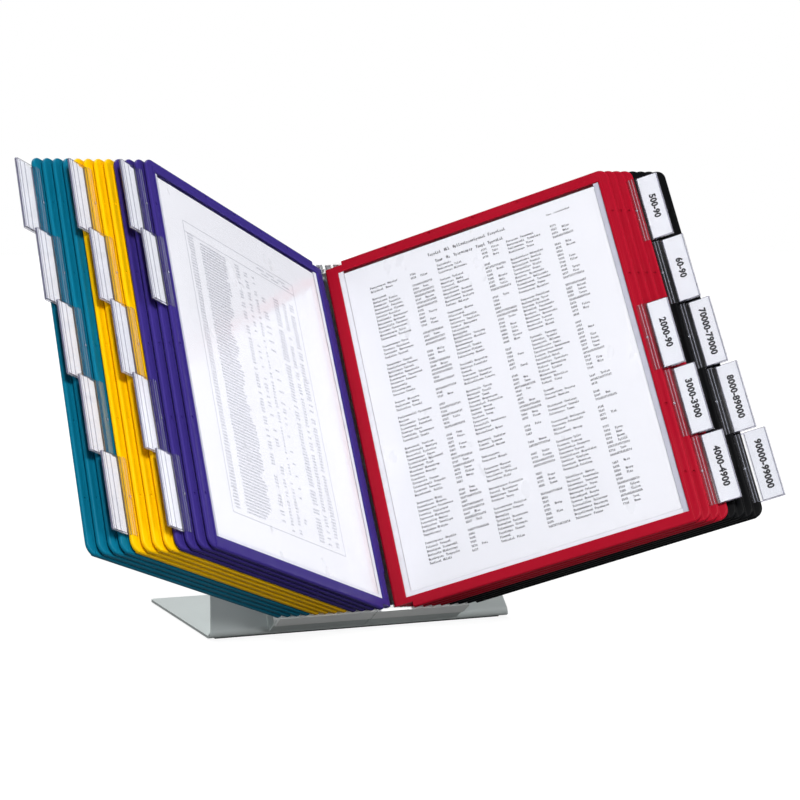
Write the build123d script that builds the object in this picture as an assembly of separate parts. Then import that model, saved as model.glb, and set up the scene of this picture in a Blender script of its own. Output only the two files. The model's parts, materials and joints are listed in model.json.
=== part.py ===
from build123d import *
import math
import os

# Desktop flip-panel reference stand: twenty display panels hinged side by side on a leaning steel plate.
# Row frame: +X to the reader's right, +Y away from the reader, +Z up, origin at the centre of the base
# on the desk. Millimetres and degrees. A panel's own frame: X outwards from its hinge axis, Z up along
# the axis, Y through its thickness. Lengths along X are called u, along Z s.

# --- paper and panels -------------------------------------------------------------------------------
SHEET_W, SHEET_H, SHEET_T = 215.9, 279.4, 0.3      # one letter sheet, a few leaves thick
PANEL_COUNT = 20
PITCH = 7.4                                        # from one hinge axis to the next
FIRST_RIGHT = 13                                   # panels 13 to 20 lie to the right, 1 to 12 to the left
RIGHT_ANGLE, LEFT_ANGLE = 39.0, 41.0               # between a resting panel and the back plate
PANEL_T = 4.4
PANEL_H = 304.0
OUTER_EDGE = 242.6                                 # measured outwards from the hinge axis
WINDOW_U = (8.4, 233.8)
WINDOW_S = (9.0, 294.3)
CORNER_R = 8.0
NOTCH_U, NOTCH_S = 13.0, 4.2                       # spine corners step back to clear the combs
RIM_T = 3.2                                        # the outer and top rims are thinner, for the tabs
OUTER_RIM_U, TOP_RIM_S = 236.2, 297.9
EDGE_R, INNER_R = 1.4, 0.8
GROOVE_T, GROOVE_DEEP = 1.0, 2.0                   # holds the film pocket's edges
SLOT_SLACK = 0.5                                   # at each side of a sheet in the top slot
DIMPLE_R, DIMPLE_DEEP = 1.2, 0.4
RIM_TO_DIMPLE = 4.1
TOP_DIMPLES = (52.0, 90.1, 128.2, 166.3)

# --- film pocket ------------------------------------------------------------------------------------
FILM_T = 0.8                                       # two films and the space between them
POCKET_S = (7.1, 296.0)
WELD = 5.6                                         # the films' joined bottom margin
SHEET_U0 = 13.1
FIT = 0.1

# --- modelling aids -----------------------------------------------------------------------------------
PAST = 1.0                                         # how far a cutter runs past what it cuts
SUNK = 0.4                                         # how far an added piece starts inside its strip
NEAR = 0.01                                        # closeness that finds an edge

# --- hinge pins -------------------------------------------------------------------------------------
PIN_R, PIN_FIT = 1.0, 0.08
PIN_SHOWN = 28.0                                   # length that lies in the open seat
PIN_HELD = 6.0                                     # length pressed into the spine beyond the seat
PIN_WALL = 1.1

# --- index tabs -------------------------------------------------------------------------------------
TAB_PLACES = 5
TAB_PITCH, TAB_LENGTH = 56.6, 56.0
TOP_TAB_S = 265.3                                  # middle of the uppermost tab
CLIP_U, CLIP_T = 236.4, 0.45
TAB_WEB_U, LABEL_U, TAB_OUT_U = 242.8, 243.8, 261.8
TAB_T, TAB_WALL = 2.4, 0.45
LABEL_T, LABEL_LEAF, LABEL_GAP = 1.3, 0.25, 0.4
NUB_R, NUB_DEEP = 1.0, 0.3

# --- stand ------------------------------------------------------------------------------------------
LEAN = 31.0                                        # of the plate and the hinge axes, from the vertical
PAD_T = 1.0
STEEL_T = 2.0
BASE_W, BASE_D = 247.0, 173.0
PLATE_TOP_W, PLATE_LEN = 152.0, 315.0
BEND_R = 5.0
BASE_CORNER_R, PLATE_CORNER_R = 4.0, 8.0
PLATE_TO_AXIS = 27.1                               # from the plate's front face to the hinge axes
PANEL_FOOT = 1.5                                   # how far up the plate the panels' bottom edge starts
PAD_MARGIN, PAD_FROM_BEND = 6.0, 1.0

# --- carriers and combs: profiles as (towards the reader, up the spine) -------------------------------
MODULE_W, MODULE_GAP = 77.3, 0.3
CARRIER_T = 1.5
LOWER_FLANGE, UPPER_FLANGE = 1.95, 304.25          # underside of each flange
FLANGE_END = -6.0
FLANGE_FIT = 0.05
LOWER_COMB = ((2.3, 0.8), (2.3, 2.6), (1.5, 3.4), (-3.6, 3.4), (-4.4, 7.6), (-6.0, 7.6), (-7.0, 5.2),
              (-10.4, 5.2), (-11.2, 9.4), (-12.8, 9.4), (-12.6, 0.6))
UPPER_COMB = ((2.3, 304.3), (2.3, 306.4), (1.7, 307.0), (-12.8, 307.0), (-12.8, 298.3), (-11.2, 298.3),
              (-10.4, 302.5), (-7.0, 302.5), (-6.0, 300.1), (-4.4, 300.1), (-3.6, 304.3))
BLIND_END = 1.0                                    # the lower pin sockets stop here
FINGER_W, FINGER_N, FINGER_S = 1.8, (-3.5, 1.8), 300.4
LUG_W, LUG_N, LUG_S = 2.0, (-4.6, 1.0), 8.0        # end stop that the outermost panel leans on

# --- fasteners --------------------------------------------------------------------------------------
SCREW_R, SCREW_HOLE_R = 2.0, 2.25
SCREW_HEAD_R, SCREW_HEAD_H, SCREW_DOME_R = 4.0, 2.6, 1.3
DRIVE_R, DRIVE_DEEP = 1.5, 1.4
NUT_AF, NUT_H, NUT_FIT = 7.0, 3.2, 0.02
SCREW_TAIL = 1.0
SCREW_X, SCREW_S = (18.0, 60.0), (40.0, 264.0)

# The spine frame: Z up along the hinge axes, -Y towards the reader, origin at the panels' bottom edge.
lean = math.radians(LEAN)
corner_y = -BASE_D / 2
SPINE_Y = corner_y + PANEL_FOOT * math.sin(lean) - PLATE_TO_AXIS * math.cos(lean)
SPINE_Z = PAD_T + PANEL_FOOT * math.cos(lean) + PLATE_TO_AXIS * math.sin(lean)
SPINE = Location((0, SPINE_Y, SPINE_Z), (-LEAN, 0, 0))


def block(x, y, z):
    """A box between the (low, high) pairs given for each axis."""
    size = [high - low for low, high in (x, y, z)]
    return Pos(x[0], y[0], z[0]) * Box(*size, align=(Align.MIN,) * 3)


def slab(x, thickness, z):
    """A box centred on Y = 0."""
    return block(x, (-thickness / 2, thickness / 2), z)


def rod(radius, x, z, y=0.0):
    """A round bar along Z between two heights."""
    return Pos(x, y, z[0]) * Cylinder(radius, z[1] - z[0], align=(Align.CENTER, Align.CENTER, Align.MIN))


def across(radius, x, y, z):
    """A round bar along Y between two depths."""
    middle = (y[0] + y[1]) / 2
    return Pos(x, middle, z) * Rot(90, 0, 0) * Cylinder(radius, y[1] - y[0])


def hinge_x(number):
    return (number - (PANEL_COUNT + 1) / 2) * PITCH


def panel_place(number):
    """Where a panel stands: local X runs outwards from its hinge axis, Z up along it."""
    turn = RIGHT_ANGLE if number >= FIRST_RIGHT else 180 - LEFT_ANGLE
    return SPINE * Location((hinge_x(number), 0, 0), (0, 0, -turn))


def tab_middle(number):
    return TOP_TAB_S - ((number - 1) % TAB_PLACES) * TAB_PITCH


# --- one panel ----------------------------------------------------------------------------------------
def edges_near(shape, axis, where):
    """The edges parallel to an axis whose middle passes the test."""
    return ShapeList([e for e in shape.edges().filter_by(axis) if where(e.center())])


def panel_frame():
    top = PANEL_H
    half = PANEL_T / 2
    frame = slab((0, OUTER_EDGE), PANEL_T, (0, top))
    frame = fillet(edges_near(frame, Axis.Y, lambda c: c.X > WINDOW_U[1]), CORNER_R)
    for z in ((0, NOTCH_S), (top - NOTCH_S, top)):
        frame -= slab((0, NOTCH_U), PANEL_T, z)
    frame += rod(half, 0, (NOTCH_S, top - NOTCH_S))
    for side in (-1, 1):
        y = sorted((side * RIM_T / 2, side * half))
        frame -= block((OUTER_RIM_U, OUTER_EDGE), y, (0, top))
        frame -= block((NOTCH_U, OUTER_EDGE), y, (TOP_RIM_S, top))
    frame -= slab(WINDOW_U, PANEL_T, WINDOW_S)
    outer_face = frame.faces().sort_by(Axis.X)[-1]
    frame = fillet(outer_face.edges().filter_by(Axis.Z), EDGE_R)
    frame = fillet(edges_near(frame, Axis.X, lambda c: c.Z < NEAR), EDGE_R)
    frame = fillet(ShapeList([e for e in frame.edges() if on_window_rim(e)]), INNER_R)
    # groove for the film pocket, and the slot that a sheet passes through
    frame -= slab((WINDOW_U[0] - GROOVE_DEEP, WINDOW_U[1] + GROOVE_DEEP), GROOVE_T,
                  (WINDOW_S[0] - GROOVE_DEEP, POCKET_S[1] + FIT))
    frame -= slab((SHEET_U0 - SLOT_SLACK, SHEET_U0 + SHEET_W + SLOT_SLACK), GROOVE_T, (WINDOW_S[1], top))
    # dimples for the tabs' nubs
    for side in (-1, 1):
        y = sorted((side * (RIM_T / 2 - DIMPLE_DEEP), side * half))
        for place in range(TAB_PLACES):
            frame -= across(DIMPLE_R, OUTER_EDGE - RIM_TO_DIMPLE, y, TOP_TAB_S - place * TAB_PITCH)
        for u in TOP_DIMPLES:
            frame -= across(DIMPLE_R, u, y, top - RIM_TO_DIMPLE + DIMPLE_R)
    # open seats and blind holes for the hinge pins
    for seat, hole in pin_seats():
        frame -= block((-half, PIN_R + FIT), (-PIN_WALL, half), seat)
        frame -= rod(PIN_R + PIN_FIT, 0, hole)
    return frame


def on_window_rim(edge):
    """Is this one of the eight straight edges around the window, on either face?"""
    c = edge.center()
    inside = (WINDOW_U[0] - NEAR < c.X < WINDOW_U[1] + NEAR
              and WINDOW_S[0] - NEAR < c.Z < WINDOW_S[1] + NEAR)
    return inside and abs(abs(c.Y) - PANEL_T / 2) < NEAR


def pin_seats():
    """The open seat and the blind hole of the lower and the upper pin, as height ranges."""
    low, high = NOTCH_S, PANEL_H - NOTCH_S
    return (((low, low + PIN_SHOWN), (low + PIN_SHOWN, low + PIN_SHOWN + PIN_HELD)),
            ((high - PIN_SHOWN, high), (high - PIN_SHOWN - PIN_HELD, high - PIN_SHOWN)))


def hinge_pins():
    """Lower and upper pin; each reaches into its comb."""
    (_, low_hole), (_, high_hole) = pin_seats()
    lower = rod(PIN_R, 0, (BLIND_END + FIT, low_hole[1] - FIT))
    upper = rod(PIN_R, 0, (high_hole[0] + FIT, UPPER_COMB[2][1] - FIT))
    return [lower, upper]


def film_slab():
    """Pocket and sheet as one sealed slab."""
    return slab((WINDOW_U[0] - GROOVE_DEEP + FIT, WINDOW_U[1] + GROOVE_DEEP - FIT), FILM_T, POCKET_S)


def film_pocket():
    """The open-topped pocket of a facing panel."""
    inside = (SHEET_U0 - SLOT_SLACK, SHEET_U0 + SHEET_W + SLOT_SLACK)
    return film_slab() - slab(inside, SHEET_T + FIT, (POCKET_S[0] + WELD, POCKET_S[1]))


def sheet():
    bottom = POCKET_S[0] + WELD + FIT
    return slab((SHEET_U0, SHEET_U0 + SHEET_W), SHEET_T, (bottom, bottom + SHEET_H))


def tab_holder(middle):
    """Clear holder: two clip legs over the frame's rim, and a folded sleeve for the label."""
    ends = (middle - TAB_LENGTH / 2, middle + TAB_LENGTH / 2)
    leg_out = RIM_T / 2 + FIT / 2 + CLIP_T
    holder = slab((CLIP_U, LABEL_U), 2 * leg_out, ends)
    holder -= slab((CLIP_U, TAB_WEB_U), RIM_T + FIT, ends)
    holder += slab((LABEL_U, TAB_OUT_U), TAB_T, ends)
    holder -= slab((LABEL_U + LABEL_GAP / 2, TAB_OUT_U - TAB_WALL), TAB_T - 2 * TAB_WALL, ends)
    for side in (-1, 1):
        y = sorted((side * (RIM_T / 2 - NUB_DEEP), side * leg_out))
        holder += across(NUB_R, OUTER_EDGE - RIM_TO_DIMPLE, y, middle)
    return holder


def tab_label(middle):
    """Card folded once, with its fold at the tab's outer edge."""
    ends = (middle - TAB_LENGTH / 2 + LABEL_GAP, middle + TAB_LENGTH / 2 - LABEL_GAP)
    card = slab((LABEL_U + LABEL_GAP, TAB_OUT_U - TAB_WALL - FIT), LABEL_T, ends)
    return card - slab((LABEL_U + LABEL_GAP, TAB_OUT_U - TAB_WALL - FIT - LABEL_LEAF),
                       LABEL_T - 2 * LABEL_LEAF, ends)


# --- stand --------------------------------------------------------------------------------------------
def prism(points, x):
    """A profile of (towards the reader, up the spine) points, pulled along X; spine frame."""
    outline = Polyline(*[(-n, s) for n, s in points], close=True)
    return Pos(x[0], 0, 0) * extrude(Plane.YZ * make_face(outline), x[1] - x[0])


def stand():
    """One bent sheet: the flat base, and the plate that leans back from its front edge."""
    up, out = (math.sin(lean), math.cos(lean)), (math.cos(lean), -math.sin(lean))
    plate_top = (corner_y + PLATE_LEN * up[0], PAD_T + PLATE_LEN * up[1])
    inner = STEEL_T * (1 + math.sin(lean)) / math.cos(lean)
    corners = [(BASE_D / 2, PAD_T), (corner_y, PAD_T), plate_top,
               (plate_top[0] + STEEL_T * out[0], plate_top[1] + STEEL_T * out[1]),
               (corner_y + inner * up[0] + STEEL_T * out[0], PAD_T + STEEL_T),
               (BASE_D / 2, PAD_T + STEEL_T)]
    profile = make_face(Polyline(*corners, close=True))
    profile = fillet(profile.vertices().sort_by(Axis.X)[0], BEND_R)
    inside_bend = profile.vertices().sort_by_distance(Vector(*corners[4]))[0]
    profile = fillet(inside_bend, BEND_R - STEEL_T)
    sheet_metal = Pos(-BASE_W / 2, 0, 0) * extrude(Plane.YZ * profile, BASE_W)
    sheet_metal = fillet(edges_near(sheet_metal, Axis.Z, lambda c: c.Y > 0), BASE_CORNER_R)
    plate_plane = Location((0, corner_y, PAD_T), (-LEAN, 0, 0))
    for side in (-1, 1):
        edge, outside, above = side * BASE_W / 2, side * BASE_W, PLATE_LEN + PAST
        taper = make_face(Polyline((edge, 0), (outside, 0), (outside, above),
                                   (side * PLATE_TOP_W / 2, above), close=True))
        cutter = Pos(0, -PAST, 0) * extrude(Plane.XZ * taper, -STEEL_T - 2 * PAST)
        sheet_metal -= plate_plane * cutter
    top = sheet_metal.faces().sort_by(Axis.Z)[-1].edges().sort_by(Edge.length)[:2]
    sheet_metal = fillet(top, PLATE_CORNER_R)
    for x, s in screw_spots():
        through = (PLATE_TO_AXIS - PAST, PLATE_TO_AXIS + STEEL_T + PAST)
        sheet_metal -= SPINE * across(SCREW_HOLE_R, x, through, s)
    return sheet_metal


def desk_pad():
    back, side = BASE_D / 2 - PAD_MARGIN, BASE_W / 2 - PAD_MARGIN
    front = corner_y + BEND_R / math.tan((math.pi / 2 - lean) / 2) + PAD_FROM_BEND
    return block((-side, side), (front, back), (0, PAD_T))


def screw_spots(sides=(-1, 1)):
    return [(side * x, s) for side in sides for x in SCREW_X for s in SCREW_S]


def module_span(side):
    return tuple(sorted((side * MODULE_GAP, side * MODULE_W)))


def carrier(side):
    """C-shaped bracket: a web against the plate, with a flange at the foot and at the top."""
    x = module_span(side)
    web_y = (PLATE_TO_AXIS - CARRIER_T, PLATE_TO_AXIS)
    bracket = block(x, web_y, (LOWER_FLANGE, UPPER_FLANGE + CARRIER_T))
    for s in (LOWER_FLANGE, UPPER_FLANGE):
        bracket += block(x, (-FLANGE_END, web_y[1]), (s, s + CARRIER_T))
    for screw_x, s in screw_spots((side,)):
        bracket -= across(SCREW_HOLE_R, screw_x, (web_y[0] - PAST, web_y[1] + PAST), s)
    return SPINE * bracket


def module_hinges(side):
    return [hinge_x(n) for n in range(1, PANEL_COUNT + 1) if hinge_x(n) * side > 0]


def comb(side, profile, flange, sockets):
    """A strip pushed over a flange's edge, with a socket for each pin; spine frame."""
    x = module_span(side)
    strip = prism(profile, x)
    slot_s = (flange - FLANGE_FIT, flange + CARRIER_T + FLANGE_FIT)
    strip -= block(x, (-FLANGE_END - FLANGE_FIT, PLATE_TO_AXIS), slot_s)
    for hinge in module_hinges(side):
        strip -= rod(PIN_R + PIN_FIT, hinge, sockets)
    return strip


def lower_comb(side):
    strip = comb(side, LOWER_COMB, LOWER_FLANGE, (BLIND_END, LOWER_COMB[2][1] + PAST))
    lug = sorted((side * (MODULE_W - LUG_W), side * MODULE_W))
    strip += block(lug, (-LUG_N[1], -LUG_N[0]), (LOWER_COMB[2][1] - SUNK, LUG_S))
    return SPINE * strip


def upper_comb(side):
    strip = comb(side, UPPER_COMB, UPPER_FLANGE, (UPPER_COMB[0][1] - PAST, UPPER_COMB[2][1] + PAST))
    for hinge in module_hinges(side)[:-1]:
        middle = hinge + PITCH / 2
        strip += block((middle - FINGER_W / 2, middle + FINGER_W / 2), (-FINGER_N[1], -FINGER_N[0]),
                       (FINGER_S, UPPER_COMB[0][1] + SUNK))
    return SPINE * strip


def carrier_screws():
    """Socket-head screws through the carriers and the plate, heads towards the panels."""
    head = (PLATE_TO_AXIS - CARRIER_T - SCREW_HEAD_H, PLATE_TO_AXIS - CARRIER_T)
    tail = PLATE_TO_AXIS + STEEL_T + NUT_H + SCREW_TAIL
    screws = []
    for x, s in screw_spots():
        screw = across(SCREW_HEAD_R, x, head, s)
        rim = screw.edges().filter_by(GeomType.CIRCLE).sort_by(Axis.Y)[0]
        screw = fillet(rim, SCREW_DOME_R) + across(SCREW_R, x, (head[1] - PAST, tail), s)
        recess = across(DRIVE_R, x, (head[0] - PAST, head[0] + DRIVE_DEEP), s)
        screws.append(SPINE * (screw - recess))
    return screws


def carrier_nuts():
    start = PLATE_TO_AXIS + STEEL_T
    nuts = []
    for x, s in screw_spots():
        face = RegularPolygon(NUT_AF / 2, 6, major_radius=False)
        nut = Pos(x, start + NUT_H, s) * Rot(90, 0, 0) * extrude(face, NUT_H)
        bore = across(SCREW_R + NUT_FIT, x, (start - PAST, start + NUT_H + PAST), s)
        nuts.append(SPINE * (nut - bore))
    return nuts


# --- write every node ---------------------------------------------------------------------------------
def save(name, solids):
    pieces = solids if isinstance(solids, list) else [solids]
    whole = [s for piece in pieces for s in piece.solids()]
    shape = whole[0] if len(whole) == 1 else Compound(children=whole)
    shape.label = name
    export_step(shape, f"parts/{name}.step")


os.makedirs("parts", exist_ok=True)
save("stand", stand())
save("desk_pad", desk_pad())
for side_name, side in (("left", -1), ("right", 1)):
    save(f"carrier_{side_name}", carrier(side))
    save(f"lower_comb_{side_name}", lower_comb(side))
    save(f"upper_comb_{side_name}", upper_comb(side))
save("carrier_screws", carrier_screws())
save("carrier_nuts", carrier_nuts())

FRAME, FILM, PINS = panel_frame(), film_slab(), hinge_pins()
FACING = (FIRST_RIGHT - 1, FIRST_RIGHT)
for number in range(1, PANEL_COUNT + 1):
    at = panel_place(number)
    name = f"panel_{number:02d}"
    middle = tab_middle(number)
    if number in FACING:
        save(f"{name}_frame", at * FRAME)
        save(f"{name}_pins", [at * pin for pin in PINS])
        save(f"{name}_pocket", at * film_pocket())
        save(f"{name}_sheet", at * sheet())
        save(f"{name}_tab", at * tab_holder(middle))
        save(f"{name}_label", at * tab_label(middle))
    else:
        save(f"{name}_frame", [at * piece for piece in (FRAME, FILM, *PINS)])
        save(f"{name}_tab", [at * tab_holder(middle), at * tab_label(middle)])
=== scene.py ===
import json
import math
import random

import bmesh
import bpy
from mathutils import Matrix, Vector


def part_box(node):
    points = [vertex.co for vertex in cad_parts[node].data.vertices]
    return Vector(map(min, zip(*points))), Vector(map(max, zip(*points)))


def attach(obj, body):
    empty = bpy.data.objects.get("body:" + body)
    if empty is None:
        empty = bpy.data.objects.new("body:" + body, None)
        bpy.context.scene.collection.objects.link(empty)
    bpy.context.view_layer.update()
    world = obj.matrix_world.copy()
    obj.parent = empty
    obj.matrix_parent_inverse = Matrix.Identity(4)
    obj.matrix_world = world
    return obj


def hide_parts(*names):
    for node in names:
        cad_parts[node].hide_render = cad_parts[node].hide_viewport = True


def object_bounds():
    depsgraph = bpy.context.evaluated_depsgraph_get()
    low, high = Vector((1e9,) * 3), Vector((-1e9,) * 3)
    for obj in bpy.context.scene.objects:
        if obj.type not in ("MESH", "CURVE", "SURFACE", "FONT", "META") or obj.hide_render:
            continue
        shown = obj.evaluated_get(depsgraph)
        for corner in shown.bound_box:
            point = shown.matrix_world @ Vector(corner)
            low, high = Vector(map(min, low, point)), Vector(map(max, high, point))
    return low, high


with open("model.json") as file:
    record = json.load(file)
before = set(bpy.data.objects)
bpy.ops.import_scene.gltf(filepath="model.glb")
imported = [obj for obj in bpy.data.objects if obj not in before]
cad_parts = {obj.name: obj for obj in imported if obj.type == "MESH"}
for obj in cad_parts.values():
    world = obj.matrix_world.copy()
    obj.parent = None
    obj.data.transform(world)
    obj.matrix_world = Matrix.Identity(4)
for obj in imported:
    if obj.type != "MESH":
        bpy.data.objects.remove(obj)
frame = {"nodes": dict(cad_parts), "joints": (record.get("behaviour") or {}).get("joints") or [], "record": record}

# Desktop flip-panel reference stand. Lengths are metres, apart from names that end in _MM and shapes that
# are drawn in a panel's own frame, which are millimetres.
cad_low, cad_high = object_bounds()
MM = 0.001
PANELS = range(1, 21)
LEFT_FACING, RIGHT_FACING = 12, 13
FACING = (LEFT_FACING, RIGHT_FACING)
COLOURS = ("teal", "yellow", "violet", "red", "black")      # four panels of each, from the left

# Sizes in a panel's own frame: u outwards from the hinge axis, s up along it, y through the thickness.
# The right-hand panels show their -y face, the left-hand ones their +y face.
OUTER_EDGE_MM, RIM_T_MM, RING_BEVEL_MM = 242.6, 3.2, 0.16
DIMPLE_FLOOR_MM, DIMPLE_SINK = RIM_T_MM / 2 - 0.4, 0.45     # the CAD floors' y, and the share of it kept here
FILM_T_MM, WINDOW_U_MM, WINDOW_S_MM = 0.8, (8.4, 233.8), (9.0, 294.3)
SHEET_T_MM, SHEET_FOOT_MM, SHEET_U_MM = 0.3, 12.8, (13.1, 229.0)
MARGIN_STRIP_GAP_MM, FOOT_GAP_MM = 0.3, 0.2                         # between the sheet and the milky margins

# A tab along u: its clip's mouth, the web, the sleeve round the label, and the outer end.
CLIP_MM, WEB_MM, SLEEVE_MM, TAB_OUT_MM = 236.4, 242.8, 243.8, 261.8
TAB_PLACES, TAB_PITCH_MM, TOP_TAB_MM, TAB_LENGTH_MM = 5, 56.6, 265.3, 56.0
TAB_T_MM, TAB_WALL_MM, CLIP_T_MM, CLIP_PLAY_MM = 2.4, 0.45, 0.45, 0.05
LEG_MM = RIM_T_MM / 2 + CLIP_PLAY_MM + CLIP_T_MM            # the clip legs' outer faces
RIBS_MM, RIB_HALF_MM, RIB_PROUD_MM = (CLIP_MM + 2.3, CLIP_MM + 4.6), 0.35, 0.22
NUB_MM, NUB_FLATNESS, NUB_INSET_MM = 1.0, 0.3, 4.1
OUTLINE_MM = 0.4

LABEL_T_MM, LEAF_MM, LABEL_HALF_MM = 1.3, 0.25, TAB_LENGTH_MM / 2 - 0.4
TEETH, TOOTH_MM = 29, 0.55
SCORES_MM, SCORE_MM = (SLEEVE_MM + 8.6, SLEEVE_MM + 13.4), 0.8
DIGIT_MM, DIGIT_BOLD_MM = 7.0, 0.34
PRINT_MM = 0.02                                             # how far print stands off its face


# --- the frame of a panel -----------------------------------------------------------------------------
joints = {j["name"]: j for j in frame["joints"]}


def name_of(number):
    return f"panel_{number:02d}"


def hinge(number):
    joint = joints[f"{name_of(number)}_hinge"]
    return Vector(joint["pos_m"]), Vector(joint["axis"]).normalized()


def facing_of(number):
    """The facing panel that this panel lies parallel to."""
    return LEFT_FACING if number <= LEFT_FACING else RIGHT_FACING


def panel_place(number):
    """Matrix from a panel's own (u, y, s) to the row frame."""
    low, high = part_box(f"{name_of(facing_of(number))}_sheet")
    foot, up = hinge(facing_of(number))
    out = (low + high) / 2 - foot
    out = (out - up * out.dot(up)).normalized()
    place = Matrix((out, up.cross(out), up)).transposed().to_4x4()
    place.translation = hinge(number)[0]
    return place


def colour_of(number):
    return COLOURS[(number - 1) // 4]


# --- materials ----------------------------------------------------------------------------------------
def linear(*srgb):
    """An 0-255 display colour as the linear one that shaders take."""
    return tuple((c / 255 / 12.92) if c <= 10 else ((c / 255 + 0.055) / 1.055) ** 2.4 for c in srgb)


class Nodes:
    """A material's node tree, with short calls to add and join nodes."""

    def __init__(self, name):
        self.material = bpy.data.materials.new(name)
        self.material.use_nodes = True
        self.tree = self.material.node_tree
        self.shader = self.tree.nodes["Principled BSDF"]
        self.output = self.tree.nodes["Material Output"]
        self.place = self.add("ShaderNodeTexCoord").outputs["Object"]

    def add(self, kind, **inputs):
        node = self.tree.nodes.new(kind)
        for key, value in inputs.items():
            node.inputs[key.replace("_", " ")].default_value = value
        return node

    def join(self, source, target):
        self.tree.links.new(source, target)

    def feed(self, key, source):
        self.join(source, self.shader.inputs[key])

    def set(self, **inputs):
        """Fixed values for shader sockets, whose names have underscores for spaces."""
        for key, value in inputs.items():
            self.shader.inputs[key.replace("_", " ")].default_value = value

    def noise(self, scale, detail=3.0, stretch=(1, 1, 1)):
        mapping = self.add("ShaderNodeMapping", Scale=stretch)
        self.join(self.place, mapping.inputs["Vector"])
        texture = self.add("ShaderNodeTexNoise", Scale=scale, Detail=detail)
        self.join(mapping.outputs["Vector"], texture.inputs["Vector"])
        return texture.outputs["Fac"]

    def spread(self, value, low=0.0, high=1.0, start=0.35, stop=0.65):
        """A value between start and stop, which suit noise, stretched to the range low to high."""
        node = self.add("ShaderNodeMapRange")
        for key, number in (("From Min", start), ("From Max", stop), ("To Min", low), ("To Max", high)):
            node.inputs[key].default_value = number
        self.join(value, node.inputs["Value"])
        return node.outputs["Result"]

    def mix(self, factor, first, second):
        node = self.add("ShaderNodeMix")
        node.data_type = "RGBA"
        self.join(factor, node.inputs["Factor"])
        node.inputs["A"].default_value = (*first, 1)
        node.inputs["B"].default_value = (*second, 1)
        return node.outputs["Result"]

    def bump(self, height, strength, distance):
        node = self.add("ShaderNodeBump", Strength=strength, Distance=distance)
        self.join(height, node.inputs["Height"])
        self.feed("Normal", node.outputs["Normal"])

    def let_through(self, see_through):
        """Mixes the shader with a see-through one. The mix's Fac is the shader's share."""
        mixed = self.add("ShaderNodeMixShader")
        self.join(see_through.outputs["BSDF"], mixed.inputs[1])
        self.join(self.shader.outputs["BSDF"], mixed.inputs[2])
        self.join(mixed.outputs["Shader"], self.output.inputs["Surface"])
        return mixed


def shaded(colour, factor):
    return tuple(c * factor for c in colour)


def moulded_plastic(name, colour, roughness):
    """Injection-moulded plastic: fine satin grain, faint flow marks and a slightly uneven gloss."""
    m = Nodes(name)
    flow = m.spread(m.noise(scale=14, detail=4, stretch=(1, 1, 0.4)))
    m.feed("Base Color", m.mix(flow, shaded(colour, 0.96), shaded(colour, 1.03)))
    m.feed("Roughness", m.spread(m.noise(scale=55, detail=5), roughness - 0.05, roughness + 0.07))
    m.bump(m.noise(scale=2600, detail=2), strength=0.05, distance=0.00003)
    m.set(Specular_IOR_Level=0.07)
    return m.material


def powder_coat(name, colour, roughness):
    """Fine-textured powder coat: orange peel and tiny grains."""
    m = Nodes(name)
    cloud = m.spread(m.noise(scale=9, detail=4))
    m.feed("Base Color", m.mix(cloud, shaded(colour, 0.97), shaded(colour, 1.03)))
    m.feed("Roughness", m.spread(m.noise(scale=900, detail=2), roughness - 0.06, roughness + 0.08))
    m.bump(m.noise(scale=1500, detail=3), strength=0.25, distance=0.00008)
    return m.material


def metal(name, colour, roughness, stretch):
    """Bright metal with fine drawn lines along one direction."""
    m = Nodes(name)
    m.set(Metallic=1.0)
    lines = m.noise(scale=1800, detail=3, stretch=stretch)
    m.feed("Base Color", m.mix(m.spread(lines), shaded(colour, 0.85), colour))
    m.feed("Roughness", m.spread(m.noise(scale=160, detail=4), roughness - 0.08, roughness + 0.1))
    m.bump(lines, strength=0.1, distance=0.00003)
    return m.material


def paper(name, colour):
    """Uncoated paper: matt, faint fibre clouds and tooth."""
    m = Nodes(name)
    fibres = m.spread(m.noise(scale=420, detail=6, stretch=(1, 1, 0.35)))
    m.feed("Base Color", m.mix(fibres, shaded(colour, 0.99), colour))
    m.feed("Roughness", m.spread(m.noise(scale=700, detail=3), 0.78, 0.92))
    m.bump(m.noise(scale=2200, detail=4), strength=0.05, distance=0.00002)
    m.set(Specular_IOR_Level=0.25)
    return m.material


def ink(name, colour):
    """Slightly patchy print."""
    m = Nodes(name)
    patchy = m.spread(m.noise(scale=900, detail=3))
    m.feed("Base Color", m.mix(patchy, colour, shaded(colour, 1.5)))
    m.feed("Roughness", m.spread(m.noise(scale=500, detail=2), 0.5, 0.7))
    return m.material


def clear_plastic(name, tint, least, roughness):
    """Clear sheet or moulding: see-through, with a gloss that grows towards grazing angles.

    The reflecting share is Schlick's law on Facing, which is the same from both sides of a wall.
    """
    m = Nodes(name)
    m.set(Base_Color=(0.96, 0.96, 0.98, 1), Metallic=1.0)
    wipe = m.noise(scale=38, detail=5, stretch=(1, 1, 0.5))
    m.feed("Roughness", m.spread(wipe, roughness * 0.7, roughness * 1.4))
    m.bump(m.noise(scale=26, detail=3), strength=0.06, distance=0.0004)
    see_through = m.add("ShaderNodeBsdfTransparent", Color=(*tint, 1))
    facing = m.add("ShaderNodeLayerWeight", Blend=0.5)
    steep = m.add("ShaderNodeMath")
    steep.operation = "POWER"
    steep.inputs[1].default_value = 5.0
    m.join(facing.outputs["Facing"], steep.inputs[0])
    mixed = m.let_through(see_through)
    m.join(m.spread(steep.outputs["Value"], least, 1.0, start=0.0, stop=1.0), mixed.inputs["Fac"])
    return m.material


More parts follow.
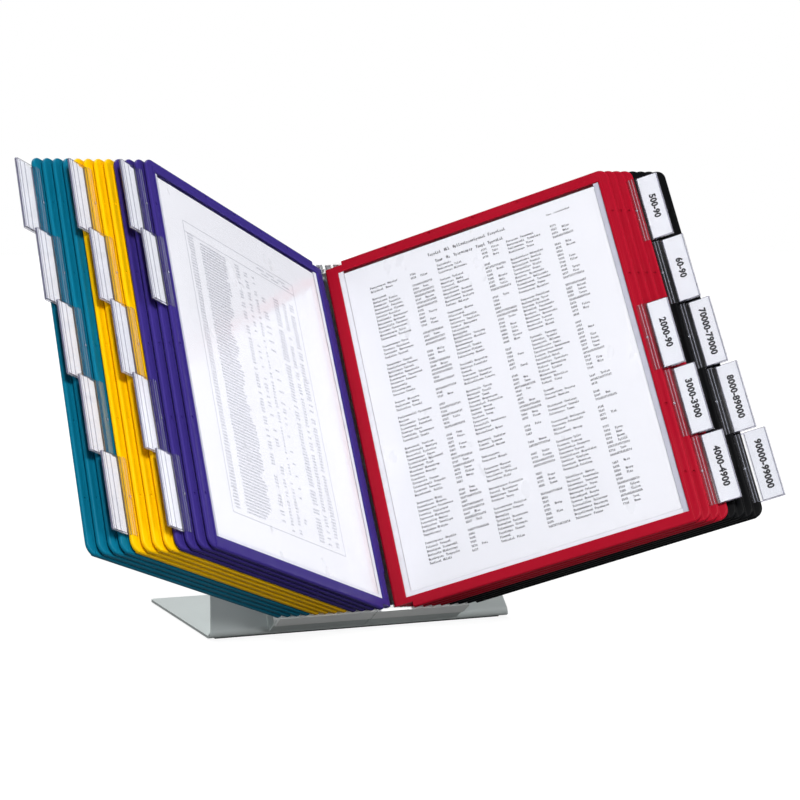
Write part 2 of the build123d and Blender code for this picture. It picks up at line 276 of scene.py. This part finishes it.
def frosted(name, colour, share):
    """Milky see-through plastic, for the painted light over the facing pockets' margins and the painted highlight
    on the clip's ribs.
    """
    m = Nodes(name)
    cloud = m.spread(m.noise(scale=120, detail=3))
    m.feed("Base Color", m.mix(cloud, shaded(colour, 0.94), colour))
    m.feed("Roughness", m.spread(m.noise(scale=300, detail=3), 0.4, 0.55))
    m.set(Specular_IOR_Level=0.2)
    mixed = m.let_through(m.add("ShaderNodeBsdfTransparent"))
    mixed.inputs["Fac"].default_value = share
    return m.material


def rubber(name):
    """Matt dark rubber with a coarse grain."""
    m = Nodes(name)
    m.feed("Base Color", m.mix(m.spread(m.noise(scale=60, detail=4)), linear(28, 28, 30), linear(40, 40, 42)))
    m.feed("Roughness", m.spread(m.noise(scale=300, detail=3), 0.75, 0.9))
    m.bump(m.noise(scale=1300, detail=2), strength=0.3, distance=0.0001)
    return m.material


MATERIALS = {name: make(name, *looks) for name, make, *looks in (
    ("stand_steel", powder_coat, linear(222, 230, 229), 0.5),
    ("carrier_steel", powder_coat, linear(214, 222, 221), 0.45),
    ("comb_plastic", moulded_plastic, linear(246, 249, 248), 0.42),
    ("pad_rubber", rubber),
    ("fastener_steel", metal, linear(196, 196, 200), 0.35, (1, 1, 1)),
    ("pin_steel", metal, linear(214, 214, 220), 0.28, (1, 1, 0.05)),
    ("teal_plastic", moulded_plastic, linear(8, 106, 134), 0.36),
    ("yellow_plastic", moulded_plastic, linear(238, 186, 2), 0.36),
    ("violet_plastic", moulded_plastic, linear(54, 42, 118), 0.38),
    ("red_plastic", moulded_plastic, linear(158, 14, 36), 0.38),
    ("black_plastic", moulded_plastic, linear(9, 10, 12), 0.42),
    ("clear_film", clear_plastic, (0.985, 0.984, 0.992), 0.05, 0.2),
    ("clear_plastic", clear_plastic, (0.982, 0.984, 0.992), 0.1, 0.16),
    ("label_card", paper, linear(247, 248, 252)),
    ("sheet_paper", paper, linear(240, 241, 244)),
    ("print_ink", ink, linear(22, 22, 27)),
)}
# The darker violet-grey edge plastic is painted shade: it draws the dark lines that shadow and the see-through
# edges make along the holder's cut edges and round the label.
EDGE_PAINTED_SHADE = clear_plastic("clear_plastic_painted_shade_edge", (0.56, 0.55, 0.66), 0.2, 0.2)
# The faint grey ink of the left page is partly painted reflection: its faintness stands in for part of the glare
# over that page.
GLARE_FADED_INK = ink("glare_faint_ink", linear(136, 139, 150))
# The score grey is painted shade: grey strips that draw the shade in the card's score creases.
SCORE_SHADE_INK = ink("score_painted_shade", linear(140, 138, 156))
# The seam and weld films are painted light: milky strips that stand in for the light seen through the facing
# pockets' clear margins.
SIDE_MARGIN_PAINTED_LIGHT = frosted("side_margin_painted_film", linear(196, 198, 212), 0.8)
FOOT_MARGIN_PAINTED_LIGHT = frosted("foot_margin_painted_film", linear(228, 230, 238), 0.9)
# The milky rib plastic is a painted highlight: it stands in for the light streaks along the clip's real ribs and
# nubs.
RIB_PAINTED_HIGHLIGHT = frosted("rib_milky_painted_highlight", linear(214, 218, 236), 0.26)


# --- pieces -------------------------------------------------------------------------------------------
def add_object(name, data):
    made = bpy.data.objects.new(name, data)
    bpy.context.scene.collection.objects.link(made)
    return made


def piece(name, mesh, body, slot, replaces=(), material=None):
    """A new piece whose mesh is already in the row frame."""
    made = add_object(name, mesh)
    mesh.name = name
    if not mesh.materials:
        mesh.materials.append(material or MATERIALS[slot])
    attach(made, body)
    if replaces:
        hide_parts(*replaces)
    return made


def moved_copy(mesh, matrix):
    copy = mesh.copy()
    copy.transform(matrix)
    return copy


def mesh_of(name, work):
    mesh = bpy.data.meshes.new(name)
    work.to_mesh(mesh)
    work.free()
    return mesh


def evaluated_mesh(made):
    """The mesh of an object after its modifiers, or of a text. The object itself goes."""
    mesh = bpy.data.meshes.new_from_object(made.evaluated_get(bpy.context.evaluated_depsgraph_get()))
    bpy.data.objects.remove(made)
    return mesh


def shade(mesh, angle):
    """Smooth shading that breaks at edges sharper than angle, in degrees."""
    mesh.shade_smooth()
    mesh.set_sharp_from_angle(angle=math.radians(angle))


def soften(work, width_mm, angle, segments):
    """Bevels the edges sharper than angle, in degrees."""
    sharp = [e for e in work.edges if e.is_manifold and e.calc_face_angle(0) > math.radians(angle)]
    bmesh.ops.bevel(work, geom=sharp, offset=width_mm * MM, segments=segments, profile=0.6, affect="EDGES",
                    clamp_overlap=True)


def cad_copy(part, bevel_mm=0.0):
    """A cleaned copy of the left facing panel's CAD mesh of one part, in the panel's own frame."""
    mesh = frame["nodes"][f"{name_of(LEFT_FACING)}_{part}"].data.copy()
    mesh.transform(panel_place(LEFT_FACING).inverted())
    mesh.materials.clear()
    work = bmesh.new()
    work.from_mesh(mesh)
    bmesh.ops.remove_doubles(work, verts=work.verts, dist=1e-6)
    if bevel_mm:
        bmesh.ops.dissolve_limit(work, angle_limit=math.radians(0.6), verts=work.verts, edges=work.edges)
        soften(work, bevel_mm, angle=28, segments=2)
    work.to_mesh(mesh)
    work.free()
    shade(mesh, 32)
    return mesh


def add_box(work, low, high):
    """A closed box between two (u, y, s) corners in millimetres."""
    low, high = Vector(low) * MM, Vector(high) * MM
    corners = [work.verts.new((x, y, z)) for x in (low.x, high.x) for y in (low.y, high.y)
               for z in (low.z, high.z)]
    for face in ((0, 1, 3, 2), (4, 6, 7, 5), (0, 4, 5, 1), (2, 3, 7, 6), (0, 2, 6, 4), (1, 5, 7, 3)):
        work.faces.new([corners[i] for i in face])


def raised(side, face_mm, proud_mm=PRINT_MM):
    """The y range of a thin layer on a face that lies face_mm from the middle, on side -1 or 1."""
    return sorted((side * face_mm, side * (face_mm + proud_mm)))


def join_rings(work, first, second):
    """Closes the space between two equal rings of vertices: walls and both ends."""
    count = len(first)
    for i in range(count):
        j = (i + 1) % count
        work.faces.new((first[i], first[j], second[j], second[i]))
    work.faces.new(first[::-1])
    work.faces.new(second)
    bmesh.ops.recalc_face_normals(work, faces=work.faces)


def extrude_profile(work, profile, s_low, s_high):
    """A closed (u, y) profile in millimetres, pulled along s."""
    rings = [[work.verts.new((u * MM, y * MM, s * MM)) for u, y in profile] for s in (s_low, s_high)]
    join_rings(work, *rings)


# --- panel frames, pins, pockets and sheets -----------------------------------------------------------
def build_panels():
    """A frame for each panel, and the other panels' pins, films and pages: the facing two have CAD ones."""
    ring = cad_copy("frame", RING_BEVEL_MM)
    for vertex in ring.vertices:                 # the dimples get deeper
        if abs(abs(vertex.co.y) - DIMPLE_FLOOR_MM * MM) < 0.01 * MM:
            vertex.co.y *= DIMPLE_SINK
    inner_parts = (("hinge_pins", cad_copy("pins"), "pin_steel"),
                   ("film", cad_copy("pocket"), "clear_film"),
                   ("page", cad_copy("sheet"), "sheet_paper"))
    for number in PANELS:
        at, name = panel_place(number), name_of(number)
        plastic = f"{colour_of(number)}_plastic"
        piece(f"{name}_ring", moved_copy(ring, at), name, plastic, (f"{name}_frame",))
        if number not in FACING:
            for part, mesh, slot in inner_parts:
                piece(f"{name}_{part}", moved_copy(mesh, at), name, slot)


def build_painted_margin_light():
    """Milky strips over the facing pockets' margins outside the sheet, on the two facing panels only: painted
    light, standing in for the light that shows through the clear margins from the panels behind.
    """
    inner, outer = SHEET_U_MM[0] - MARGIN_STRIP_GAP_MM, SHEET_U_MM[1] + MARGIN_STRIP_GAP_MM
    outer_margin = ((outer, WINDOW_U_MM[1], *WINDOW_S_MM),)
    spine_and_foot = ((WINDOW_U_MM[0], inner, *WINDOW_S_MM),
                      (inner, outer, WINDOW_S_MM[0], SHEET_FOOT_MM - FOOT_GAP_MM))
    for number in FACING:
        for kind, strips, used in (("side_painted_light", outer_margin, SIDE_MARGIN_PAINTED_LIGHT),
                                   ("foot_painted_light", spine_and_foot, FOOT_MARGIN_PAINTED_LIGHT)):
            work = bmesh.new()
            for side in (-1, 1):
                y_low, y_high = raised(side, FILM_T_MM / 2)
                for u_low, u_high, s_low, s_high in strips:
                    add_box(work, (u_low, y_low, s_low), (u_high, y_high, s_high))
            made = mesh_of(kind, work)
            made.transform(panel_place(number))
            piece(f"{name_of(number)}_{kind}", made, name_of(number), "clear_film", (), used)


# --- index tabs ---------------------------------------------------------------------------------------
def tab_middle(number):
    return TOP_TAB_MM - ((number - 1) % TAB_PLACES) * TAB_PITCH_MM


def holder_profile():
    """Clip legs over the rim, a web with ribs, and a sleeve folded over the label, with the sleeve's hole."""
    sleeve, gap, inside = TAB_T_MM / 2, TAB_T_MM / 2 - TAB_WALL_MM, LEG_MM - CLIP_T_MM
    upper = [(CLIP_MM, LEG_MM - 0.1), (CLIP_MM + 0.5, LEG_MM)]
    for rib in RIBS_MM:
        upper += [(rib - RIB_HALF_MM, LEG_MM), (rib, LEG_MM + RIB_PROUD_MM), (rib + RIB_HALF_MM, LEG_MM)]
    upper += [(WEB_MM - 0.6, LEG_MM), (WEB_MM + 0.2, LEG_MM - 0.5), (SLEEVE_MM, sleeve + 0.15),
              (SLEEVE_MM + 0.9, sleeve), (TAB_OUT_MM - 0.7, sleeve), (TAB_OUT_MM, sleeve - 0.6)]
    lower = [(u, -y) for u, y in reversed(upper)]
    slot_end = WEB_MM - 0.3
    slot = [(CLIP_MM, -inside), (slot_end, -inside), (slot_end, inside), (CLIP_MM, inside)]
    hole_start, hole_end = SLEEVE_MM + 0.2, TAB_OUT_MM - TAB_WALL_MM
    hole = [(hole_start, gap), (hole_end, gap), (hole_end, -gap), (hole_start, -gap)]
    return upper + lower + slot, hole


def holder_walls():
    """The holder's body, about its middle. The sleeve's hole is cut through it from end to end."""
    outer, hole = holder_profile()
    half = TAB_LENGTH_MM / 2
    work = bmesh.new()
    extrude_profile(work, outer, -half, half)
    soften(work, 0.09, angle=50, segments=1)
    body = add_object("holder_body", mesh_of("holder_body", work))
    work = bmesh.new()
    extrude_profile(work, hole, -half - 1, half + 1)
    cutter = add_object("holder_cutter", mesh_of("holder_cutter", work))
    cut = body.modifiers.new("sleeve", "BOOLEAN")
    cut.operation, cut.object, cut.solver = "DIFFERENCE", cutter, "EXACT"
    walls = evaluated_mesh(body)
    bpy.data.objects.remove(cutter)
    return walls


def add_nubs(work):
    """A small dome on each clip leg at mid-length, over the frame's dimple."""
    for side in (-1, 1):
        made = bmesh.ops.create_uvsphere(work, u_segments=14, v_segments=8, radius=NUB_MM * MM)["verts"]
        at = Vector((OUTER_EDGE_MM - NUB_INSET_MM, side * LEG_MM, 0)) * MM
        place = Matrix.Translation(at) @ Matrix.Diagonal((1, NUB_FLATNESS, 1, 1))
        bmesh.ops.transform(work, matrix=place, verts=made)


def add_outline(work):
    """Thin raised lines round the sleeve's two faces, and along its outer edge: painted shade for the dark lines
    along the label's and the sleeve's edges.
    """
    end, inner, outer = TAB_LENGTH_MM / 2, SLEEVE_MM + 0.95, TAB_OUT_MM - 0.75
    for side in (-1, 1):
        low, high = raised(side, TAB_T_MM / 2)
        for u in (inner, outer - OUTLINE_MM):
            add_box(work, (u, low, -end), (u + OUTLINE_MM, high, end))
        for s in (-end, end - OUTLINE_MM):
            add_box(work, (inner + OUTLINE_MM, low, s), (outer - OUTLINE_MM, high, s + OUTLINE_MM))
        low, high = raised(side, 0.4, 0.18)
        add_box(work, (TAB_OUT_MM, low, -end), (TAB_OUT_MM + PRINT_MM, high, end))


def holder_mesh():
    """Clear walls, with darker cut edges and outlines as painted shade, and milky ribs and nubs whose milkiness is
    a painted highlight.
    """
    made = holder_walls()
    for material in (MATERIALS["clear_plastic"], EDGE_PAINTED_SHADE, RIB_PAINTED_HIGHLIGHT):
        made.materials.append(material)
    clear, edge, rib = range(3)
    work = bmesh.new()
    work.from_mesh(made)
    add_nubs(work)
    for face in work.faces:
        middle = face.calc_center_median()
        # ribs and nubs take the milky painted highlight
        if abs(middle.y) > (LEG_MM + 0.03) * MM:
            face.material_index = rib
        # cut edges take the darker edge plastic: painted shade
        elif abs(face.normal.y) < 0.4 and middle.x < (TAB_OUT_MM - 0.1) * MM:
            face.material_index = edge
        else:
            face.material_index = clear
    body = set(work.faces)
    add_outline(work)
    for face in set(work.faces) - body:
        face.material_index = edge
    work.to_mesh(made)
    work.free()
    shade(made, 30)
    return made


def label_mesh():
    """Card folded at the tab's outer edge. The front leaf's edge is toothed, and the back leaf is short."""
    half, y = LABEL_HALF_MM, LABEL_T_MM / 2
    fold = TAB_OUT_MM - TAB_WALL_MM - 0.15
    tip, root, short = SLEEVE_MM + 0.7, SLEEVE_MM + 0.7 + TOOTH_MM, SLEEVE_MM + 6.8
    step = 2 * half / TEETH
    edge = []
    for i in range(TEETH):
        start = -half + i * step
        edge += [(tip, start + 0.12 * step), (tip, start + 0.62 * step), (root, start + 0.72 * step),
                 (root, start + 1.02 * step)]
    edge[0], edge[-1] = (tip, -half), (root, half)
    outline = [(fold, -half)] + edge + [(fold, half)]
    work = bmesh.new()
    join_rings(work, *([work.verts.new((u * MM, depth * MM, s * MM)) for u, s in outline]
                       for depth in (-y, -y + LEAF_MM)))
    add_box(work, (fold - 0.3, -y + LEAF_MM, -half), (fold, y, half))
    add_box(work, (short, y - LEAF_MM, -half), (fold - 0.3, y, half))
    bmesh.ops.recalc_face_normals(work, faces=work.faces)
    return mesh_of("label", work)


def score_mesh():
    """Two grey strips along the card's back leaf: painted shade for its score creases."""
    face = LABEL_T_MM / 2
    work = bmesh.new()
    for u in SCORES_MM:
        add_box(work, (u, face, -LABEL_HALF_MM), (u + SCORE_MM, face + PRINT_MM, LABEL_HALF_MM))
    return mesh_of("score", work)


INDEX_NUMBERS = ("100-140", "150-190", "200-290", "300-390", "400-490", "500-590", "600-690", "700-790",
                 "800-890", "900-940", "950-990", "1000-1400", "2000-90", "3000-3900", "4000-4900",
                 "500-90", "60-90", "70000-79000", "8000-89000", "90000-99000")


def digits_mesh(text):
    """Index numbers as thin raised print, centred on the origin, reading along +X.

    The outlines are filled at a size in metres and then shrunk, because tiny ones fill badly.
    """
    curve = bpy.data.curves.new("digits", "FONT")
    curve.body, curve.size, curve.offset = text, DIGIT_MM, DIGIT_BOLD_MM
    curve.align_x, curve.align_y = "CENTER", "CENTER"
    curve.extrude, curve.resolution_u, curve.space_character = PRINT_MM / 2, 4, 1.08
    mesh = evaluated_mesh(add_object("digits", curve))
    mesh.transform(Matrix.Scale(MM, 4))
    return mesh


def digits_place():
    """Index numbers read down the front leaf, which faces -y, and lie just clear of it."""
    place = Matrix(((0, 1, 0), (0, 0, -1), (-1, 0, 0))).to_4x4()
    middle = (SLEEVE_MM + TAB_OUT_MM) / 2 + 0.2
    place.translation = Vector((middle, -LABEL_T_MM / 2 - 0.6 * PRINT_MM, 0)) * MM
    return place


def build_tabs():
    holder, card, scores = holder_mesh(), label_mesh(), score_mesh()
    for number in PANELS:
        name = name_of(number)
        at = panel_place(number) @ Matrix.Translation((0, 0, tab_middle(number) * MM))
        piece(f"{name}_holder", moved_copy(holder, at), name, "clear_plastic", (f"{name}_tab",))
        body = f"label_{number}" if number in FACING else name
        stands_for = (f"{name}_label",) if number in FACING else ()
        piece(f"{name}_card", moved_copy(card, at), body, "label_card", stands_for)
        piece(f"{name}_scores", moved_copy(scores, at), body, "print_ink", (), SCORE_SHADE_INK)
        numbers = digits_mesh(INDEX_NUMBERS[number - 1])
        numbers.transform(at @ digits_place())
        piece(f"{name}_numbers", numbers, body, "print_ink")


# --- printed pages ------------------------------------------------------------------------------------
# Made-up signs as strokes (u, s, width, height) in a cell one x-height tall: none is a letter or a digit.
PEN = 0.31
SIGNS = (
    ((0, 0, PEN, 1.0), (PEN, 1 - PEN, 0.4, PEN), (0.48, 0, PEN, 0.7)),
    ((0, 0, PEN, 1.5), (PEN, 0, 0.35, PEN)),
    ((0, 0, 0.7, PEN), (0.2, PEN, PEN, 0.7)),
    ((0, 1 - PEN, 0.7, PEN), (0, 0, PEN, 0.7), (PEN, 0.3, 0.3, PEN)),
    ((0.45, 0, PEN, 1.0), (0, 0, 0.45, PEN), (0, 0.5, PEN, 0.5)),
    ((0, -0.4, PEN, 1.4), (PEN, 0.35, 0.4, PEN)),
)
TALL_SIGNS = (
    ((0, 0, PEN, 1.5), (PEN, 1.5 - PEN, 0.45, PEN), (PEN, 0.6, 0.3, PEN)),
    ((0.25, 0, PEN, 1.5), (0, 1.5 - PEN, 0.8, PEN)),
    ((0, 0, PEN, 1.5), (0.5, 0, PEN, 1.5), (PEN, 0.65, 0.2, PEN)),
)
COUNT_SIGNS = (
    ((0, 0, PEN, 1.4), (PEN, 1.4 - PEN, 0.35, PEN), (0.4, 0, PEN, 0.7)),
    ((0, 1.4 - PEN, 0.7, PEN), (0.25, 0, PEN, 1.1)),
    ((0, 0, 0.7, PEN), (0.4, PEN, PEN, 1.0), (0, 0.6, 0.4, PEN)),
)
SIGN_WIDTH, SIGN_STEP = 0.7, 0.95       # in x-heights


class Page:
    """Print on one side of a facing panel's sheet, in the panel's own (u, s)."""

    def __init__(self, number, side):
        self.number = number
        self.draw = random.Random(number)
        self.work = bmesh.new()
        self.y_low, self.y_high = raised(side, SHEET_T_MM / 2)

    def bar(self, u_low, s_low, u_high, s_high):
        add_box(self.work, (u_low, self.y_low, s_low), (u_high, self.y_high, s_high))

    def word(self, u, s, length, height, capital=False, signs=SIGNS):
        """A run of made-up signs from u, with their feet on s. height is the x-height."""
        place, end = u, u + length
        while place + SIGN_WIDTH * height <= end:
            strokes = self.draw.choice(TALL_SIGNS if capital else signs)
            capital = False
            for at, up, wide, tall in strokes:
                self.bar(place + at * height, s + up * height,
                         place + (at + wide) * height, s + (up + tall) * height)
            place += SIGN_STEP * height

    def finish(self, material):
        made = mesh_of("print", self.work)
        made.transform(panel_place(self.number))
        piece(f"page_{self.number}_print", made, f"sheet_{self.number}", "print_ink", (), material)


RIGHT_COLUMNS_MM = ((32, 67, 75.5), (90.4, 128.6, 137.5), (150.2, 187.5, 196.5))     # name, count, code
RIGHT_TITLE_MM = ((85, 281.5, (12, 5.5, 28, 15)), (90, 274.3, (7.5, 4, 17, 8, 14)))  # u, s, word lengths


def build_right_page():
    """A centred title and three columns of entries, with numbers and codes, in uneven groups."""
    page = Page(RIGHT_FACING, -1)
    draw, height, pitch, top, foot = page.draw, 1.3, 3.35, 270.0, 26
    for u, s, lengths in RIGHT_TITLE_MM:
        for length in lengths:
            page.word(u, s, length, 1.75, True)
            u += length + 2.2
    for u, length in ((187, 4), (193, 14)):      # a page number
        page.word(u, 281, length, 1.1)
    for name_u, count_u, code_u in RIGHT_COLUMNS_MM:
        s, left = top, draw.randint(2, 4)
        while s > foot:
            first = draw.uniform(9, 16)
            page.word(name_u, s, first, height, True)
            if draw.random() < 0.9:
                page.word(name_u + first + 1.4, s, draw.uniform(6, 13), height, True)
            if draw.random() < 0.16:             # a long count, and no code
                page.word(count_u, s, 17, height, signs=COUNT_SIGNS)
            else:
                page.word(count_u, s, 5.2, height, signs=COUNT_SIGNS)
                if draw.random() < 0.6:
                    page.word(code_u, s, draw.uniform(4.5, 7.5), height, True)
            s -= pitch
            left -= 1
            if left == 0:
                s -= pitch
                left = draw.randint(2, 13)
    page.finish(MATERIALS["print_ink"])


# inner end, outer end, raggedness, share of the lines that are filled, top
LEFT_TABLES_MM = (
    (194, 201, 0.1, 1.0, 258),
    (152, 186, 0.35, 1.0, 255),
    (134, 140, 0.1, 0.8, 257),
    (123, 128, 0.2, 0.6, 257),
    (113.5, 117, 0.1, 0.7, 257),
    (101, 108, 0.5, 0.3, 240),
    (82, 90, 0.3, 0.9, 243),
    (71.5, 77, 0.2, 0.8, 243),
    (59, 66, 0.3, 0.9, 246),
)


def build_left_page():
    """A ruled box round dense tables of small print, in grey ink that is partly the print's own tone and partly a
    painted reflection of the glare over this page.
    """
    page = Page(LEFT_FACING, 1)
    low_u, high_u, low_s, high_s = 53.5, 204.0, 34.0, 266.0
    rule, pitch = 0.4, 2.5
    for u in (low_u, high_u):
        page.bar(u, low_s, u + rule, high_s)
    for s in (low_s, high_s - 9, high_s):
        page.bar(low_u, s, high_u, s + rule)
    for inner, outer, ragged, share, top in LEFT_TABLES_MM:
        s, wander = top - 2.0, 0.0
        while s > low_s + 3:
            wander = min(1.0, max(0.0, wander + page.draw.uniform(-0.3, 0.3)))
            start = inner + (outer - inner) * ragged * wander
            if page.draw.random() < share:
                page.word(start, s, outer - start, 1.25)
            s -= pitch
    for s, start in ((262.5, 66), (259.5, 60)):  # headings over the tables
        for along in (0, 16, 30):
            page.word(start + along, s, 11, 1.1)
    page.finish(GLARE_FADED_INK)


# --- the CAD nodes that stay --------------------------------------------------------------------------
def dress_cad_nodes():
    slots = {p["node"]: p["material_slot"] for p in frame["record"]["subparts"]}
    for name, node in frame["nodes"].items():
        if node.hide_render:
            continue
        node.data.materials.clear()
        node.data.materials.append(MATERIALS[slots[name]])
        shade(node.data, 30)


# --- studio -------------------------------------------------------------------------------------------
# name, place, what it points at, width and height, power
AREA_LIGHTS = (
    ("key", (-0.3, -2.0, 1.4), (cad_low + cad_high) / 2, (0.6, 0.5), 48),
    ("low_left", (-1.8, -1.1, 0.5), (-0.1, -0.05, 0.05), (0.9, 0.5), 4.5),
    ("low_right", (1.4, -1.5, 0.4), (0.1, -0.05, 0.05), (0.9, 0.5), 14),
)
SUN_POWER, SUN_ANGLE, SUN_DIRECTION = 2.2, 30, (0.1, -0.6, -0.8)
WORLD_LIGHT = 0.11
FLOOR_SIZE = 30
FLOOR_SHADE_NEAR, FLOOR_SHADE_IN_FRONT = (0.15,) * 3, (0.7,) * 3
FRONT_FROM_Y, FRONT_TO_Y = -0.4, -0.9   # where the floor changes from the near shade to the front one
FLOOR_GLOW_NEAR, GLOW_FROM, GLOW_TO = 0.9, 0.3, 1.0     # as seen, rising to 1 between these distances

LENS_MM, SENSOR_MM = 89.0, 36.0
CAMERA_PLACE, CAMERA_HEADING, CAMERA_DROP = (-0.544, -1.487, 0.301), 22.24, 4.71


def point(made, direction):
    """Turns a light or camera so that it looks along a direction."""
    made.rotation_euler = Vector(direction).to_track_quat("-Z", "Y").to_euler()


def seen_only(tree, socket, unseen, seen):
    """Gives a studio socket one value where the camera sees it, and another where it only lights."""
    path = tree.nodes.new("ShaderNodeLightPath")
    strength = tree.nodes.new("ShaderNodeMapRange")
    strength.inputs["To Min"].default_value, strength.inputs["To Max"].default_value = unseen, seen
    tree.links.new(path.outputs["Is Camera Ray"], strength.inputs["Value"])
    tree.links.new(strength.outputs["Result"], socket)
    return strength


def build_floor():
    """The floor looks white to the camera, but near the stand it throws little light back."""
    work = bmesh.new()
    bmesh.ops.create_grid(work, x_segments=1, y_segments=1, size=FLOOR_SIZE)
    floor = add_object("floor", mesh_of("floor", work))
    floor.location.z = cad_low.z
    m = Nodes("floor")
    apart = m.add("ShaderNodeSeparateXYZ")
    m.join(m.place, apart.inputs["Vector"])
    forward = m.spread(apart.outputs["Y"], 1.0, 0.0, FRONT_TO_Y, FRONT_FROM_Y)
    m.feed("Base Color", m.mix(forward, FLOOR_SHADE_NEAR, FLOOR_SHADE_IN_FRONT))
    m.set(Roughness=0.9, Specular_IOR_Level=0.1, Emission_Color=(1, 1, 1, 1))
    away = m.add("ShaderNodeVectorMath")
    away.operation = "LENGTH"
    m.join(m.place, away.inputs[0])
    strength = seen_only(m.tree, m.shader.inputs["Emission Strength"], 0.0, 1.0)
    glow = m.spread(away.outputs["Value"], FLOOR_GLOW_NEAR, 1.0, GLOW_FROM, GLOW_TO)
    m.join(glow, strength.inputs["To Max"])
    floor.data.materials.append(m.material)


def build_world():
    world = bpy.data.worlds.new("studio")
    bpy.context.scene.world = world
    world.use_nodes = True
    backdrop = world.node_tree.nodes["Background"]
    backdrop.inputs["Color"].default_value = (1, 1, 1, 1)
    seen_only(world.node_tree, backdrop.inputs["Strength"], WORLD_LIGHT, 1.0)


def build_lights():
    for name, place, target, size, power in AREA_LIGHTS:
        data = bpy.data.lights.new(name, "AREA")
        data.shape, data.size, data.size_y, data.energy = "RECTANGLE", *size, power
        light = add_object(name, data)
        light.location = place
        point(light, Vector(target) - Vector(place))
    data = bpy.data.lights.new("overhead", "SUN")
    data.energy, data.angle = SUN_POWER, math.radians(SUN_ANGLE)
    point(add_object("overhead", data), SUN_DIRECTION)


def build_camera():
    data = bpy.data.cameras.new("camera")
    data.lens, data.sensor_width = LENS_MM, SENSOR_MM
    data.clip_start, data.clip_end = 0.05, 50
    camera = add_object("camera", data)
    camera.location = CAMERA_PLACE
    heading, drop = math.radians(CAMERA_HEADING), math.radians(CAMERA_DROP)
    point(camera, (math.sin(heading) * math.cos(drop), math.cos(heading) * math.cos(drop), -math.sin(drop)))
    bpy.context.scene.camera = camera


build_panels()
build_painted_margin_light()
build_tabs()
build_right_page()
build_left_page()
dress_cad_nodes()
build_floor()
build_world()
build_lights()
build_camera()
bpy.context.scene.view_settings.view_transform = "Standard"
bpy.context.scene.view_settings.look = "None"
